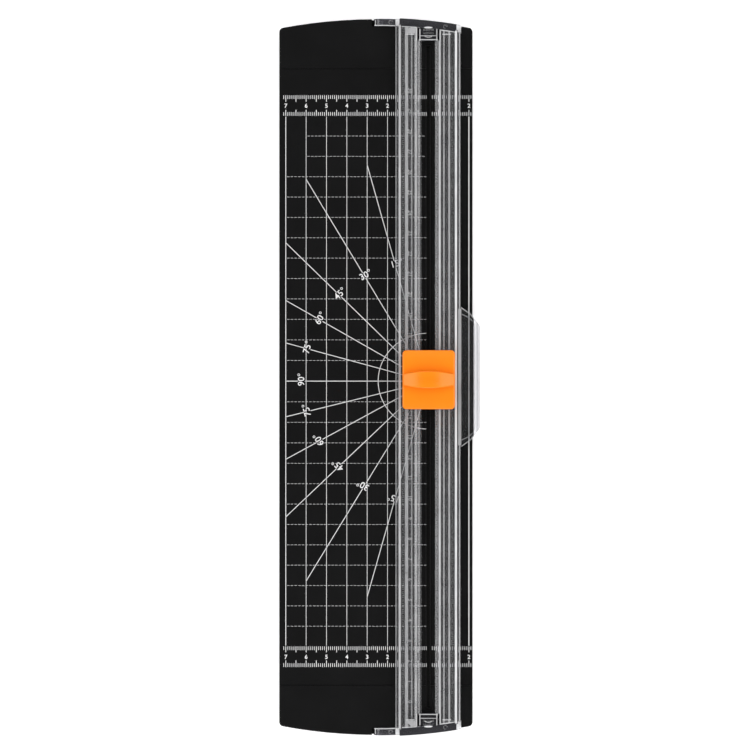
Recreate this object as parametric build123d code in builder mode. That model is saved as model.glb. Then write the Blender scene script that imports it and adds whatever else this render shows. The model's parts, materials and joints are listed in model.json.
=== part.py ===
from build123d import *
import os

os.makedirs("parts", exist_ok=True)

# Rotary paper trimmer in millimetres: a flat base, a clear rail hinged along one side,
# and a sprung slider that carries a round blade along the rail's slot.
# +X points to the lift tab, +Y runs along the cut, +Z is up. The origin is the centre
# of the whole footprint, on the surface that the feet stand on.

# ---- driving dimensions -------------------------------------------------------------

# Base
BASE_WIDTH = 95.0
BASE_LENGTH = 351.8          # tip to tip of the bowed ends
END_RADIUS = 250.0           # bow of the two short ends
CORNER_RADIUS = 2.2
FOOT_STAND = 1.2             # how far the feet lift the skirt off the surface
BASE_TOP = 10.0
FIELD_DEPTH = 0.6            # the paper lies this much below the two end zones
FIELD_LENGTH = 303.2         # between the two step fences, for a 297 mm sheet
SKIRT_WALL = 2.0
TOP_WALL = 2.2
END_BLOCK_Y = 167.5          # the underside is hollow up to here
TOP_EDGE = 0.5               # chamfer round the top
RIB_WALL = 1.2
RIB_PITCH = 32.0
RIB_OFFSET = 24.0            # from the long middle rib to the one left of it
RIB_LIFT = 0.8               # the ribs end this far above the skirt's lower edge

# Where things stand across the width
TAB_OVERHANG = 3.6           # the lift tab reaches this far past the base's edge
BASE_X = -TAB_OVERHANG / 2
CUT_X = BASE_X + 25.7        # the cut line

# Cutting strip
STRIP_WIDTH = 2.2
STRIP_HEIGHT = 2.8
STRIP_LENGTH = 325.6
KERF_WIDTH = 1.0
KERF_DEPTH = 1.7
STRIP_FIT = 0.05
STRIP_BED_HALF = 3.2         # solid bed under the strip
STRIP_BED = 2.0

# Feet
FOOT_RADIUS = 5.0
FOOT_HEIGHT = 2.5
FOOT_SPREAD_X = 38.0
FOOT_SPREAD_Y = 156.0
FOOT_BOSS = 2.0              # wall round each foot's socket
FOOT_FIT = 0.1
FOOT_EDGE = 0.4

# Clear rail, half widths measured from the cut line
SLOT_HALF = 3.3
TROUGH_IN = 7.0
TROUGH_OUT = 11.0
TROUGH_WALL = 1.0
TROUGH_FLOOR = 1.2
WALL_IN = 13.05
WALL_OUT = 14.45
FLANGE_OUT = 16.0
RAIL_BOTTOM = BASE_TOP + 0.2
FLANGE_THICK = 1.4
DECK_BOTTOM = 12.6
DECK_TOP = 14.2
WALL_TOP = 19.0
TROUGH_END = 168.0
KEYHOLE_HALF = 5.5
KEYHOLE_INSET = 1.5          # from the keyhole's far end to the end plate
SLOT_END = 165.0

# End stops, which close the slot's ends
STOP_HALF = 4.4
STOP_TIP = 170.6
STOP_ARM_Y = (167.4, 168.3)
STOP_Z = (11.2, 14.8)
STOP_CORNER = 0.6
SCOOP_RADIUS = 2.4
SCOOP_HALF = 2.6
SCOOP_Y = 169.2
SCOOP_RISE = 2.2             # from the deck to the scoop's centre

# Rail end plates, which carry the hinge ears
PLATE_DEPTH = 3.7
PLATE_PROUD = 0.5            # the plates stand this far outside the base's ends
PLATE_GAP = 0.4
EAR_INSET = 0.5              # the ears end short of the plates, level with the base
NOTCH_LEFT = 27.7
EAR_RIGHT = 16.1
BAR_LEFT = 14.1
BAR_RIGHT = 13.9
EAR_RADIUS = 3.3
HINGE_OFFSET = 23.4          # hinge axis to cut line
HINGE_Z = 8.4
PIN_RADIUS = 1.25
RUNNING_GAP = 0.05
PIN_INNER_Y = 168.2
PIN_OUTER_Y = 174.8
EAR_BORE_Y = 175.0
PIN_SOCKET = 8.0
PIN_FIT = 0.01
PIN_EDGE = 0.25
LEDGE_DROP = 0.5             # extra room under the turning ear
LIP_ROOT = 0.5               # the ledge's lip starts this far inside the base
NOTCH_MARGIN = 0.3           # from the flange's edge to the notch's right side
RISER_WALL = 1.2

# Lift tab, measured from the cut line and along Y
TAB_ROOT_Y = 34.4
TAB_SHOULDER_X = 21.0
TAB_SHOULDER_Y = 30.9
TAB_OUT = 25.4
TAB_TIP_Y = 25.0
TAB_CORNER = 1.5
TAB_THICK = 1.6
TAB_RIM = 2.7
TAB_RIM_RISE = 1.0

# Slider
SLIDER_Y = -1.3              # where the slider is stored
SLIDER_WIDTH = 25.6
SLIDER_LENGTH = 28.8
PRESS_TRAVEL = 2.2
COVER_BOTTOM = DECK_TOP + PRESS_TRAVEL + 0.2
COVER_WALL = 1.4
COVER_TOP = 27.0
VALLEY_Z = 25.7
ROOF_Z = 24.4
RIDGE_END_WIDTH = 5.4
RIDGE_WIDTH = 8.4
RIDGE_TOP = 31.0
RIDGE_END_TOP = 28.0
RIDGE_INSET = 0.3
COVER_CORNER = 2.0
COVER_TOP_ROUND = 0.8
RIDGE_CORNER = 0.4
RIDGE_EDGE = 0.5
RIB_OF_COVER = 1.2
CATCH_NEAR = 10.5
CATCH_HALF_Y = 2.5

# Sled
SLED_HALF_X = 11.1
SLED_HALF_Y = 12.7
SLED_BOTTOM = DECK_TOP + 0.3
SLED_TOP = SLED_BOTTOM + 1.6
SLED_OPENING = (3.5, 8.5)
KEEL_HALF = 2.9
HOOK_HALF = 4.4
HOOK_Z = (11.2, 12.3)
KEEL_NEAR = 8.7
RUNNER = (8.3, 9.7)
RUNNER_BOTTOM = 11.8
GUIDE_WALL = (9.8, 11.0)
GUIDE_TOP = ROOF_Z - PRESS_TRAVEL - 0.2
GUIDE_HALF_Y = 9.0
WINDOW_HALF_Y = 3.0
WINDOW_Z = (17.6, 21.6)

# Blade and its holder
BLADE_RADIUS = 6.5
BLADE_THICK = 0.3
BLADE_LIFT = 1.0             # blade edge above the paper field, at rest
AXLE_RADIUS = 1.5
AXLE_HALF = 2.8
HUB_GAP = 0.03
HUB_RADIUS = 2.0
HUB_FLANGE_RADIUS = 3.4
HUB_RING_RADIUS = 3.2
HUB_HALF = 0.75
HUB_FIT = 0.02
CHEEK_IN = 0.9
CHEEK_OUT = 3.0
CHEEK_HALF_Y = 6.6
CHEEK_SHOULDER_Z = 20.8
CHEEK_ROUND = 3.4
BRIDGE_Z = 23.75
SCREW_RADIUS = 0.8
SCREW_HEAD_RADIUS = 1.3
SCREW_HEAD = 0.9
SCREW_Y = 5.2
SCREW_Z = 22.6
SPRING_RADIUS = 2.0
SPRING_BORE = 1.5
SPRING_Y = 10.6
SPRING_POST = 1.2
SPRING_POST_LENGTH = 2.6

# ---- worked-out positions -----------------------------------------------------------

FIELD_TOP = BASE_TOP - FIELD_DEPTH
HOLLOW_TOP = FIELD_TOP - TOP_WALL
BASE_HALF_LENGTH = BASE_LENGTH / 2
PLATE_TIP = BASE_HALF_LENGTH + PLATE_PROUD
STRIP_BOTTOM = FIELD_TOP - STRIP_HEIGHT
LEDGE_TOP = HINGE_Z - EAR_RADIUS
PLATE_TOP = HINGE_Z + EAR_RADIUS
AXLE_Z = FIELD_TOP + BLADE_LIFT + BLADE_RADIUS
TAB_X = CUT_X + TAB_OUT


# ---- helpers ------------------------------------------------------------------------

def slab(x_span, y_span, z_span, mode=Mode.ADD):
    """A rectangular block between three pairs of limits, in the sub-part being built."""
    spans = (x_span, y_span, z_span)
    centre = tuple((low + high) / 2 for low, high in spans)
    size = tuple(high - low for low, high in spans)
    with Locations(centre):
        Box(*size, mode=mode)


def beside_cut(side, near, far):
    """X limits of a strip on one side of the cut line, side being -1 or 1."""
    return tuple(sorted((CUT_X + side * near, CUT_X + side * far)))


def across_cut(left, right):
    """X limits of a strip that reaches left and right of the cut line."""
    return CUT_X - left, CUT_X + right


def beside_slider(side, near, far):
    """Y limits of a block on one side of the slider's middle."""
    return tuple(sorted((SLIDER_Y + side * near, SLIDER_Y + side * far)))


def bowed_outline(width, tip, inset):
    """Plan outline with straight sides and two bowed ends, pulled in by inset."""
    bow_centre = tip - END_RADIUS
    with BuildSketch() as outline:
        with Locations((BASE_X, bow_centre)):
            Circle(END_RADIUS - inset)
        with Locations((BASE_X, -bow_centre)):
            Circle(END_RADIUS - inset, mode=Mode.INTERSECT)
        with Locations((BASE_X, 0)):
            Rectangle(width - 2 * inset, 2 * tip, mode=Mode.INTERSECT)
    return outline.sketch


def end_band(inset_outer, inset_inner, x_span):
    """Plan band that follows the bowed +Y end between two insets from the plate's edge."""
    bow_centre = PLATE_TIP - END_RADIUS
    with BuildSketch() as band:
        with Locations((BASE_X, bow_centre)):
            Circle(END_RADIUS - inset_outer)
            Circle(END_RADIUS - inset_inner, mode=Mode.SUBTRACT)
        with Locations(((x_span[0] + x_span[1]) / 2, PLATE_TIP)):
            Rectangle(x_span[1] - x_span[0], 40, mode=Mode.INTERSECT)
    return band.sketch


def both_ends(shape, mode):
    """Put a shape made for the +Y end on both ends of the sub-part being built."""
    add(shape, mode=mode)
    add(shape.mirror(Plane.XZ), mode=mode)


# ---- base ---------------------------------------------------------------------------

FOOT_PLACES = {
    "foot_front_left": (BASE_X - FOOT_SPREAD_X, -FOOT_SPREAD_Y),
    "foot_front_right": (BASE_X + FOOT_SPREAD_X, -FOOT_SPREAD_Y),
    "foot_back_left": (BASE_X - FOOT_SPREAD_X, FOOT_SPREAD_Y),
    "foot_back_right": (BASE_X + FOOT_SPREAD_X, FOOT_SPREAD_Y),
}

# The notch at each end that the rail's end plate lies in: the floor of the notch is a
# ledge under the ear and a higher one under the bar, with an open gap beside each.
with BuildPart() as end_notch:
    with BuildSketch(Plane.XY.offset(LEDGE_TOP)):
        add(end_band(-2, PLATE_DEPTH + PLATE_GAP, across_cut(NOTCH_LEFT, FLANGE_OUT + NOTCH_MARGIN)))
    extrude(amount=BASE_TOP)
    with BuildSketch(Plane.XY.offset(LEDGE_TOP - LEDGE_DROP)):
        add(end_band(-2, PLATE_DEPTH + PLATE_GAP, across_cut(NOTCH_LEFT, -BAR_LEFT)))
    extrude(amount=BASE_TOP)
    for gap_span in (
        across_cut(EAR_RIGHT, -BAR_LEFT),
        across_cut(-BAR_RIGHT, FLANGE_OUT + NOTCH_MARGIN),
    ):
        with BuildSketch():
            add(end_band(-2, PLATE_DEPTH + PLATE_GAP, gap_span))
        extrude(amount=BASE_TOP)

# The ledge under the bar reaches out as far as the plate above it
with BuildPart() as ledge_lip:
    with BuildSketch(Plane.XY.offset(FOOT_STAND)):
        add(end_band(0, PLATE_PROUD + LIP_ROOT, across_cut(BAR_LEFT, BAR_RIGHT)))
    extrude(amount=LEDGE_TOP - FOOT_STAND)

with BuildPart() as base_tray:
    with BuildSketch(Plane.XY.offset(FOOT_STAND)) as tray_plan:
        add(bowed_outline(BASE_WIDTH, BASE_HALF_LENGTH, 0))
        fillet(tray_plan.vertices(), CORNER_RADIUS)
    extrude(amount=BASE_TOP - FOOT_STAND)
    chamfer(base_tray.faces().sort_by(Axis.Z)[-1].outer_wire().edges(), TOP_EDGE)
    # Hollow underside, closed by thick blocks at the two ends
    with BuildSketch(Plane.XY.offset(FOOT_STAND)):
        with Locations((BASE_X, 0)):
            Rectangle(BASE_WIDTH - 2 * SKIRT_WALL, 2 * END_BLOCK_Y)
    extrude(amount=HOLLOW_TOP - FOOT_STAND, mode=Mode.SUBTRACT)
    # Ribs under the top wall, no further apart than the pitch
    rib_z = (FOOT_STAND + RIB_LIFT, HOLLOW_TOP)
    inner_x = (BASE_X - BASE_WIDTH / 2 + SKIRT_WALL, BASE_X + BASE_WIDTH / 2 - SKIRT_WALL)
    for rib_x in (BASE_X - RIB_OFFSET, BASE_X):
        slab((rib_x - RIB_WALL / 2, rib_x + RIB_WALL / 2), (-END_BLOCK_Y, END_BLOCK_Y), rib_z)
    for rib_number in range(-5, 6):
        rib_y = rib_number * RIB_PITCH
        slab(inner_x, (rib_y - RIB_WALL / 2, rib_y + RIB_WALL / 2), rib_z)
    slab(across_cut(STRIP_BED_HALF, STRIP_BED_HALF), (-END_BLOCK_Y, END_BLOCK_Y),
         (STRIP_BOTTOM - STRIP_BED, HOLLOW_TOP))
    # Bosses that hold the feet
    with BuildSketch(Plane.XY.offset(FOOT_STAND)):
        with Locations(*FOOT_PLACES.values()):
            Circle(FOOT_RADIUS + FOOT_BOSS)
    extrude(amount=HOLLOW_TOP - FOOT_STAND)
    with BuildSketch():
        with Locations(*FOOT_PLACES.values()):
            Circle(FOOT_RADIUS + FOOT_FIT)
    extrude(amount=FOOT_HEIGHT, mode=Mode.SUBTRACT)
    # Paper field between the two step fences, and the channel of the cutting strip
    field_x = (BASE_X - BASE_WIDTH, BASE_X + BASE_WIDTH)
    slab(field_x, (-FIELD_LENGTH / 2, FIELD_LENGTH / 2), (FIELD_TOP, BASE_TOP + 1), Mode.SUBTRACT)
    channel_half = STRIP_WIDTH / 2 + STRIP_FIT
    channel_y = STRIP_LENGTH / 2 + 2 * STRIP_FIT
    slab(across_cut(channel_half, channel_half), (-channel_y, channel_y),
         (STRIP_BOTTOM, BASE_TOP + 1), Mode.SUBTRACT)
    both_ends(end_notch.part, Mode.SUBTRACT)
    both_ends(ledge_lip.part, Mode.ADD)
    # Blind holes that hold the hinge pins
    for side in (-1, 1):
        with BuildSketch(Plane.XZ.offset(side * PIN_INNER_Y)):
            with Locations((CUT_X - HINGE_OFFSET, HINGE_Z)):
                Circle(PIN_RADIUS + PIN_FIT)
        extrude(amount=side * PIN_SOCKET, mode=Mode.SUBTRACT)
base_tray.part.label = "base_tray"
export_step(base_tray.part, "parts/base_tray.step")

with BuildPart() as cutting_strip:
    half_strip = STRIP_WIDTH / 2
    strip_y = (-STRIP_LENGTH / 2, STRIP_LENGTH / 2)
    slab(across_cut(half_strip, half_strip), strip_y, (STRIP_BOTTOM, FIELD_TOP))
    slab(across_cut(KERF_WIDTH / 2, KERF_WIDTH / 2), strip_y,
         (FIELD_TOP - KERF_DEPTH, FIELD_TOP + 1), Mode.SUBTRACT)
cutting_strip.part.label = "cutting_strip"
export_step(cutting_strip.part, "parts/cutting_strip.step")

for foot_name, foot_place in FOOT_PLACES.items():
    with BuildPart() as foot:
        with BuildSketch():
            with Locations(foot_place):
                Circle(FOOT_RADIUS)
        extrude(amount=FOOT_HEIGHT)
        chamfer(foot.faces().sort_by(Axis.Z)[0].edges(), FOOT_EDGE)
    foot.part.label = foot_name
    export_step(foot.part, f"parts/{foot_name}.step")

for pin_name, pin_side in {"hinge_pin_front": -1, "hinge_pin_back": 1}.items():
    with BuildPart() as hinge_pin:
        with BuildSketch(Plane.XZ.offset(-pin_side * PIN_INNER_Y)):
            with Locations((CUT_X - HINGE_OFFSET, HINGE_Z)):
                Circle(PIN_RADIUS)
        extrude(amount=-pin_side * (PIN_OUTER_Y - PIN_INNER_Y))
        chamfer(hinge_pin.edges(), PIN_EDGE)
    hinge_pin.part.label = pin_name
    export_step(hinge_pin.part, f"parts/{pin_name}.step")

# ---- clear rail ---------------------------------------------------------------------

# One end plate: a bar across the rail's end whose left part is the hinge ear. Its end
# is round about the hinge axis, so that it turns inside the notch.
with BuildPart() as end_plate:
    with BuildSketch(Plane.XZ.offset(-TROUGH_END)):
        with Locations((CUT_X - HINGE_OFFSET, HINGE_Z)):
            Circle(EAR_RADIUS)
        with Locations((CUT_X + (FLANGE_OUT - HINGE_OFFSET) / 2, HINGE_Z)):
            Rectangle(FLANGE_OUT + HINGE_OFFSET, 2 * EAR_RADIUS)
    extrude(amount=TROUGH_END - PLATE_TIP)
    with BuildSketch():
        add(end_band(0, PLATE_DEPTH, across_cut(NOTCH_LEFT, FLANGE_OUT)))
    extrude(amount=BASE_TOP * 2, mode=Mode.INTERSECT)
    with BuildSketch(Plane.XZ.offset(-TROUGH_END)):
        with Locations((CUT_X - HINGE_OFFSET, HINGE_Z)):
            Circle(PIN_RADIUS + RUNNING_GAP)
    extrude(amount=TROUGH_END - EAR_BORE_Y, mode=Mode.SUBTRACT)

# The riser that joins the raised deck to the end plate
with BuildPart() as end_riser:
    for side in (-1, 1):
        with BuildSketch(Plane.XY.offset(RAIL_BOTTOM)):
            riser_x = beside_cut(side, KEYHOLE_HALF, WALL_OUT)
            add(end_band(PLATE_DEPTH, PLATE_DEPTH + RISER_WALL, riser_x))
        extrude(amount=DECK_TOP - RAIL_BOTTOM)

# What the ears lack of the end plates' full depth
with BuildPart() as ear_trim:
    with BuildSketch():
        add(end_band(-2, EAR_INSET, across_cut(NOTCH_LEFT, -BAR_LEFT)))
    extrude(amount=BASE_TOP * 2)

with BuildPart() as clear_rail:
    with BuildSketch(Plane.XZ) as rail_section:
        for side in (-1, 1):
            strips = (
                (WALL_OUT - 0.1, FLANGE_OUT, RAIL_BOTTOM, RAIL_BOTTOM + FLANGE_THICK),
                (WALL_IN, WALL_OUT, RAIL_BOTTOM, WALL_TOP),
                (SLOT_HALF, WALL_IN, DECK_BOTTOM, DECK_TOP),
                (TROUGH_IN, TROUGH_OUT, RAIL_BOTTOM, DECK_TOP),
            )
            for near, far, low, high in strips:
                with Locations((CUT_X + side * (near + far) / 2, (low + high) / 2)):
                    Rectangle(far - near, high - low)
    extrude(amount=PLATE_TIP, both=True)
    # Trim the extruded section to the bowed ends, just inside the end plates
    with BuildSketch():
        add(bowed_outline(BASE_WIDTH, PLATE_TIP, 0))
    extrude(amount=40, mode=Mode.INTERSECT)
    with BuildSketch(Plane.XY.offset(PLATE_TOP)):
        add(end_band(-2, PLATE_DEPTH, across_cut(NOTCH_LEFT, FLANGE_OUT)))
        add(end_band(-2, PLATE_DEPTH, across_cut(NOTCH_LEFT, FLANGE_OUT)).mirror(Plane.XZ))
    extrude(amount=20, mode=Mode.SUBTRACT)
    # Grooves of the two troughs, which the slider's runners ride in
    for side in (-1, 1):
        slab(beside_cut(side, TROUGH_IN + TROUGH_WALL, TROUGH_OUT - TROUGH_WALL),
             (-TROUGH_END, TROUGH_END), (RAIL_BOTTOM + TROUGH_FLOOR, DECK_TOP + 1), Mode.SUBTRACT)
    both_ends(end_plate.part, Mode.ADD)
    both_ends(end_riser.part, Mode.ADD)
    both_ends(ear_trim.part, Mode.SUBTRACT)
    # Wide keyholes at the slot's ends, where the slider is put in before the end stops
    for side in (-1, 1):
        keyhole_y = tuple(sorted((side * SLOT_END, side * (PLATE_TIP - PLATE_DEPTH - KEYHOLE_INSET))))
        slab(across_cut(KEYHOLE_HALF, KEYHOLE_HALF), keyhole_y, (DECK_BOTTOM - 1, DECK_TOP + 1),
             Mode.SUBTRACT)
    # Lift tab with a raised rim
    with BuildSketch(Plane.XY.offset(RAIL_BOTTOM)) as tab_plan:
        with BuildLine():
            Polyline(
                (CUT_X + WALL_OUT, TAB_ROOT_Y + 2),
                (CUT_X + FLANGE_OUT, TAB_ROOT_Y),
                (CUT_X + TAB_SHOULDER_X, TAB_SHOULDER_Y),
                (TAB_X, TAB_TIP_Y),
                (TAB_X, -TAB_TIP_Y),
                (CUT_X + TAB_SHOULDER_X, -TAB_SHOULDER_Y),
                (CUT_X + FLANGE_OUT, -TAB_ROOT_Y),
                (CUT_X + WALL_OUT, -TAB_ROOT_Y - 2),
                close=True,
            )
        make_face()
        fillet(tab_plan.vertices().group_by(Axis.X)[-1], TAB_CORNER)
    extrude(amount=TAB_THICK)
    with BuildSketch(Plane.XY.offset(RAIL_BOTTOM + TAB_THICK)):
        add(tab_plan.sketch)
        offset(tab_plan.sketch, amount=-TAB_RIM, mode=Mode.SUBTRACT)
        with Locations((CUT_X, 0)):
            Rectangle(2 * FLANGE_OUT + 1, 2 * PLATE_TIP, mode=Mode.SUBTRACT)
    extrude(amount=TAB_RIM_RISE)
clear_rail.part.label = "clear_rail"
export_step(clear_rail.part, "parts/clear_rail.step")

for stop_name, stop_side in {"end_stop_front": -1, "end_stop_back": 1}.items():
    with BuildPart() as end_stop:
        stop_y = tuple(sorted((stop_side * SLOT_END, stop_side * STOP_TIP)))
        slab(across_cut(STOP_HALF, STOP_HALF), stop_y, STOP_Z)
        fillet(end_stop.edges().filter_by(Axis.Z), STOP_CORNER)
        # Two thin arms that reach the keyhole's sides
        arm_y = tuple(sorted(stop_side * y for y in STOP_ARM_Y))
        slab(across_cut(KEYHOLE_HALF, KEYHOLE_HALF), arm_y, (DECK_BOTTOM, DECK_TOP))
        # A shallow finger scoop in the top
        with BuildSketch(Plane.YZ.offset(CUT_X)):
            with Locations((stop_side * SCOOP_Y, DECK_TOP + SCOOP_RISE)):
                Circle(SCOOP_RADIUS)
        extrude(amount=SCOOP_HALF, both=True, mode=Mode.SUBTRACT)
    end_stop.part.label = stop_name
    export_step(end_stop.part, f"parts/{stop_name}.step")

# ---- carriage sled ------------------------------------------------------------------

with BuildPart() as carriage_sled:
    slab(across_cut(SLED_HALF_X, SLED_HALF_X), beside_slider(1, -SLED_HALF_Y, SLED_HALF_Y),
         (SLED_BOTTOM, SLED_TOP))
    slab(across_cut(SLED_OPENING[0], SLED_OPENING[0]),
         beside_slider(1, -SLED_OPENING[1], SLED_OPENING[1]),
         (SLED_BOTTOM, SLED_TOP), Mode.SUBTRACT)
    for side in (-1, 1):
        # Runner in the rail's trough, keel through the slot, hook under the slot's lips
        slab(beside_cut(side, *RUNNER), beside_slider(1, -SLED_HALF_Y, SLED_HALF_Y),
             (RUNNER_BOTTOM, SLED_BOTTOM))
        slab(across_cut(KEEL_HALF, KEEL_HALF), beside_slider(side, KEEL_NEAR, SLED_HALF_Y),
             (HOOK_Z[0], SLED_BOTTOM))
        slab(across_cut(HOOK_HALF, HOOK_HALF), beside_slider(side, KEEL_NEAR, SLED_HALF_Y), HOOK_Z)
        # Upright wall that guides the cover, with a window for the cover's catch
        slab(beside_cut(side, *GUIDE_WALL), beside_slider(1, -GUIDE_HALF_Y, GUIDE_HALF_Y),
             (SLED_TOP, GUIDE_TOP))
        slab(beside_cut(side, *GUIDE_WALL), beside_slider(1, -WINDOW_HALF_Y, WINDOW_HALF_Y),
             WINDOW_Z, Mode.SUBTRACT)
        with BuildSketch(Plane.XY.offset(SLED_TOP)):
            with Locations((CUT_X, SLIDER_Y + side * SPRING_Y)):
                Circle(SPRING_POST)
        extrude(amount=SPRING_POST_LENGTH)
carriage_sled.part.label = "carriage_sled"
export_step(carriage_sled.part, "parts/carriage_sled.step")

for spring_name, spring_side in {"return_spring_front": -1, "return_spring_back": 1}.items():
    with BuildPart() as return_spring:
        with BuildSketch(Plane.XY.offset(SLED_TOP)):
            with Locations((CUT_X, SLIDER_Y + spring_side * SPRING_Y)):
                Circle(SPRING_RADIUS)
                Circle(SPRING_BORE, mode=Mode.SUBTRACT)
        extrude(amount=ROOF_Z - SLED_TOP)
    return_spring.part.label = spring_name
    export_step(return_spring.part, f"parts/{spring_name}.step")

# ---- slider cover -------------------------------------------------------------------

HALF_WIDTH = SLIDER_WIDTH / 2
HALF_LENGTH = SLIDER_LENGTH / 2

# The finger ridge: a lens in plan with an arched back, just short of the cover's sides
with BuildPart() as finger_ridge:
    ridge_x = HALF_WIDTH - RIDGE_INSET
    with BuildSketch(Plane.XY.offset(VALLEY_Z - 1)):
        with BuildLine():
            for side in (-1, 1):
                ThreePointArc(
                    (CUT_X - ridge_x, SLIDER_Y + side * RIDGE_END_WIDTH / 2),
                    (CUT_X, SLIDER_Y + side * RIDGE_WIDTH / 2),
                    (CUT_X + ridge_x, SLIDER_Y + side * RIDGE_END_WIDTH / 2),
                )
                Line(
                    (CUT_X + side * ridge_x, SLIDER_Y - RIDGE_END_WIDTH / 2),
                    (CUT_X + side * ridge_x, SLIDER_Y + RIDGE_END_WIDTH / 2),
                )
        make_face()
    extrude(amount=RIDGE_TOP)
    with BuildSketch(Plane.XZ.offset(-SLIDER_Y)):
        with BuildLine():
            ThreePointArc(
                (CUT_X - HALF_WIDTH, RIDGE_END_TOP),
                (CUT_X, RIDGE_TOP),
                (CUT_X + HALF_WIDTH, RIDGE_END_TOP),
            )
            Polyline(
                (CUT_X + HALF_WIDTH, RIDGE_END_TOP),
                (CUT_X + HALF_WIDTH, 0),
                (CUT_X - HALF_WIDTH, 0),
                (CUT_X - HALF_WIDTH, RIDGE_END_TOP),
            )
        make_face()
    extrude(amount=HALF_LENGTH, both=True, mode=Mode.INTERSECT)
    fillet(finger_ridge.edges().filter_by(Axis.Z), RIDGE_CORNER)
    fillet(finger_ridge.faces().sort_by(Axis.Z)[-1].edges(), RIDGE_EDGE)

with BuildPart() as slider_cover:
    # Side profile: two thumb valleys that fall towards the ridge in the middle
    with BuildSketch(Plane.YZ.offset(CUT_X)):
        with BuildLine():
            for side in (-1, 1):
                ThreePointArc(
                    (SLIDER_Y + side * HALF_LENGTH, COVER_TOP - 0.4),
                    (SLIDER_Y + side * HALF_LENGTH * 0.6, VALLEY_Z + 0.15),
                    (SLIDER_Y + side * RIDGE_END_WIDTH / 2, VALLEY_Z),
                )
                Line(
                    (SLIDER_Y + side * HALF_LENGTH, COVER_TOP - 0.4),
                    (SLIDER_Y + side * HALF_LENGTH, COVER_BOTTOM),
                )
            Line(
                (SLIDER_Y - RIDGE_END_WIDTH / 2, VALLEY_Z),
                (SLIDER_Y + RIDGE_END_WIDTH / 2, VALLEY_Z),
            )
            Line(
                (SLIDER_Y - HALF_LENGTH, COVER_BOTTOM),
                (SLIDER_Y + HALF_LENGTH, COVER_BOTTOM),
            )
        make_face()
    extrude(amount=HALF_WIDTH, both=True)
    fillet(slider_cover.edges().filter_by(Axis.Z), COVER_CORNER)
    # Round the rim of the top, which is every top edge but the two beside the ridge
    top_edges = slider_cover.edges().filter_by_position(Axis.Z, VALLEY_Z - 0.01, COVER_TOP)
    ridge_lines = top_edges.filter_by(Axis.X).sort_by(lambda edge: abs(edge.center().Y - SLIDER_Y))[:2]
    fillet([edge for edge in top_edges if edge not in ridge_lines], COVER_TOP_ROUND)
    add(finger_ridge.part)
    # Hollow inside
    slab(across_cut(HALF_WIDTH - COVER_WALL, HALF_WIDTH - COVER_WALL),
         beside_slider(1, COVER_WALL - HALF_LENGTH, HALF_LENGTH - COVER_WALL),
         (COVER_BOTTOM, ROOF_Z), Mode.SUBTRACT)
    for side in (-1, 1):
        # Rib beside the blade holder, catch for the sled's window, pin inside the spring
        slab(beside_cut(side, CHEEK_OUT, CHEEK_OUT + RIB_OF_COVER),
             beside_slider(1, -CATCH_HALF_Y, CATCH_HALF_Y), (ROOF_Z - 3, ROOF_Z))
        slab(beside_cut(side, CATCH_NEAR, HALF_WIDTH - COVER_WALL),
             beside_slider(1, -CATCH_HALF_Y, CATCH_HALF_Y),
             (WINDOW_Z[0] + PRESS_TRAVEL + 0.1, WINDOW_Z[1] - 0.1))
        with BuildSketch(Plane.XY.offset(ROOF_Z - SPRING_POST_LENGTH)):
            with Locations((CUT_X, SLIDER_Y + side * SPRING_Y)):
                Circle(SPRING_POST)
        extrude(amount=SPRING_POST_LENGTH)
slider_cover.part.label = "slider_cover"
export_step(slider_cover.part, "parts/slider_cover.step")

# ---- blade holder and blade ---------------------------------------------------------

for cheek_name, cheek_side in {"blade_holder_left": -1, "blade_holder_right": 1}.items():
    cheek_x = beside_cut(cheek_side, CHEEK_IN, CHEEK_OUT)
    with BuildPart() as holder_cheek:
        with BuildSketch(Plane.YZ.offset(cheek_x[0])):
            with Locations((SLIDER_Y, AXLE_Z)):
                Circle(CHEEK_ROUND)
            with Locations((SLIDER_Y, (AXLE_Z + ROOF_Z) / 2)):
                Rectangle(2 * CHEEK_ROUND, ROOF_Z - AXLE_Z)
            with Locations((SLIDER_Y, (CHEEK_SHOULDER_Z + ROOF_Z) / 2)):
                Rectangle(2 * CHEEK_HALF_Y, ROOF_Z - CHEEK_SHOULDER_Z)
            with Locations((SLIDER_Y, AXLE_Z)):
                Circle(AXLE_RADIUS, mode=Mode.SUBTRACT)
            with Locations((SLIDER_Y - SCREW_Y, SCREW_Z), (SLIDER_Y + SCREW_Y, SCREW_Z)):
                Circle(SCREW_RADIUS, mode=Mode.SUBTRACT)
        extrude(amount=CHEEK_OUT - CHEEK_IN)
        if cheek_side < 0:
            # Bridge that spaces the two cheeks, above the blade
            slab(across_cut(CHEEK_IN, CHEEK_IN), beside_slider(1, -CHEEK_HALF_Y, CHEEK_HALF_Y),
                 (BRIDGE_Z, ROOF_Z))
    holder_cheek.part.label = cheek_name
    export_step(holder_cheek.part, f"parts/{cheek_name}.step")

with BuildPart() as holder_screws:
    screw_places = ((SLIDER_Y - SCREW_Y, SCREW_Z), (SLIDER_Y + SCREW_Y, SCREW_Z))
    with BuildSketch(Plane.YZ.offset(CUT_X - CHEEK_OUT + 0.4)):
        with Locations(*screw_places):
            Circle(SCREW_RADIUS)
    extrude(amount=2 * CHEEK_OUT - 0.4)
    with BuildSketch(Plane.YZ.offset(CUT_X + CHEEK_OUT)):
        with Locations(*screw_places):
            Circle(SCREW_HEAD_RADIUS)
    extrude(amount=SCREW_HEAD)
holder_screws.part.label = "holder_screws"
export_step(holder_screws.part, "parts/holder_screws.step")

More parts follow.
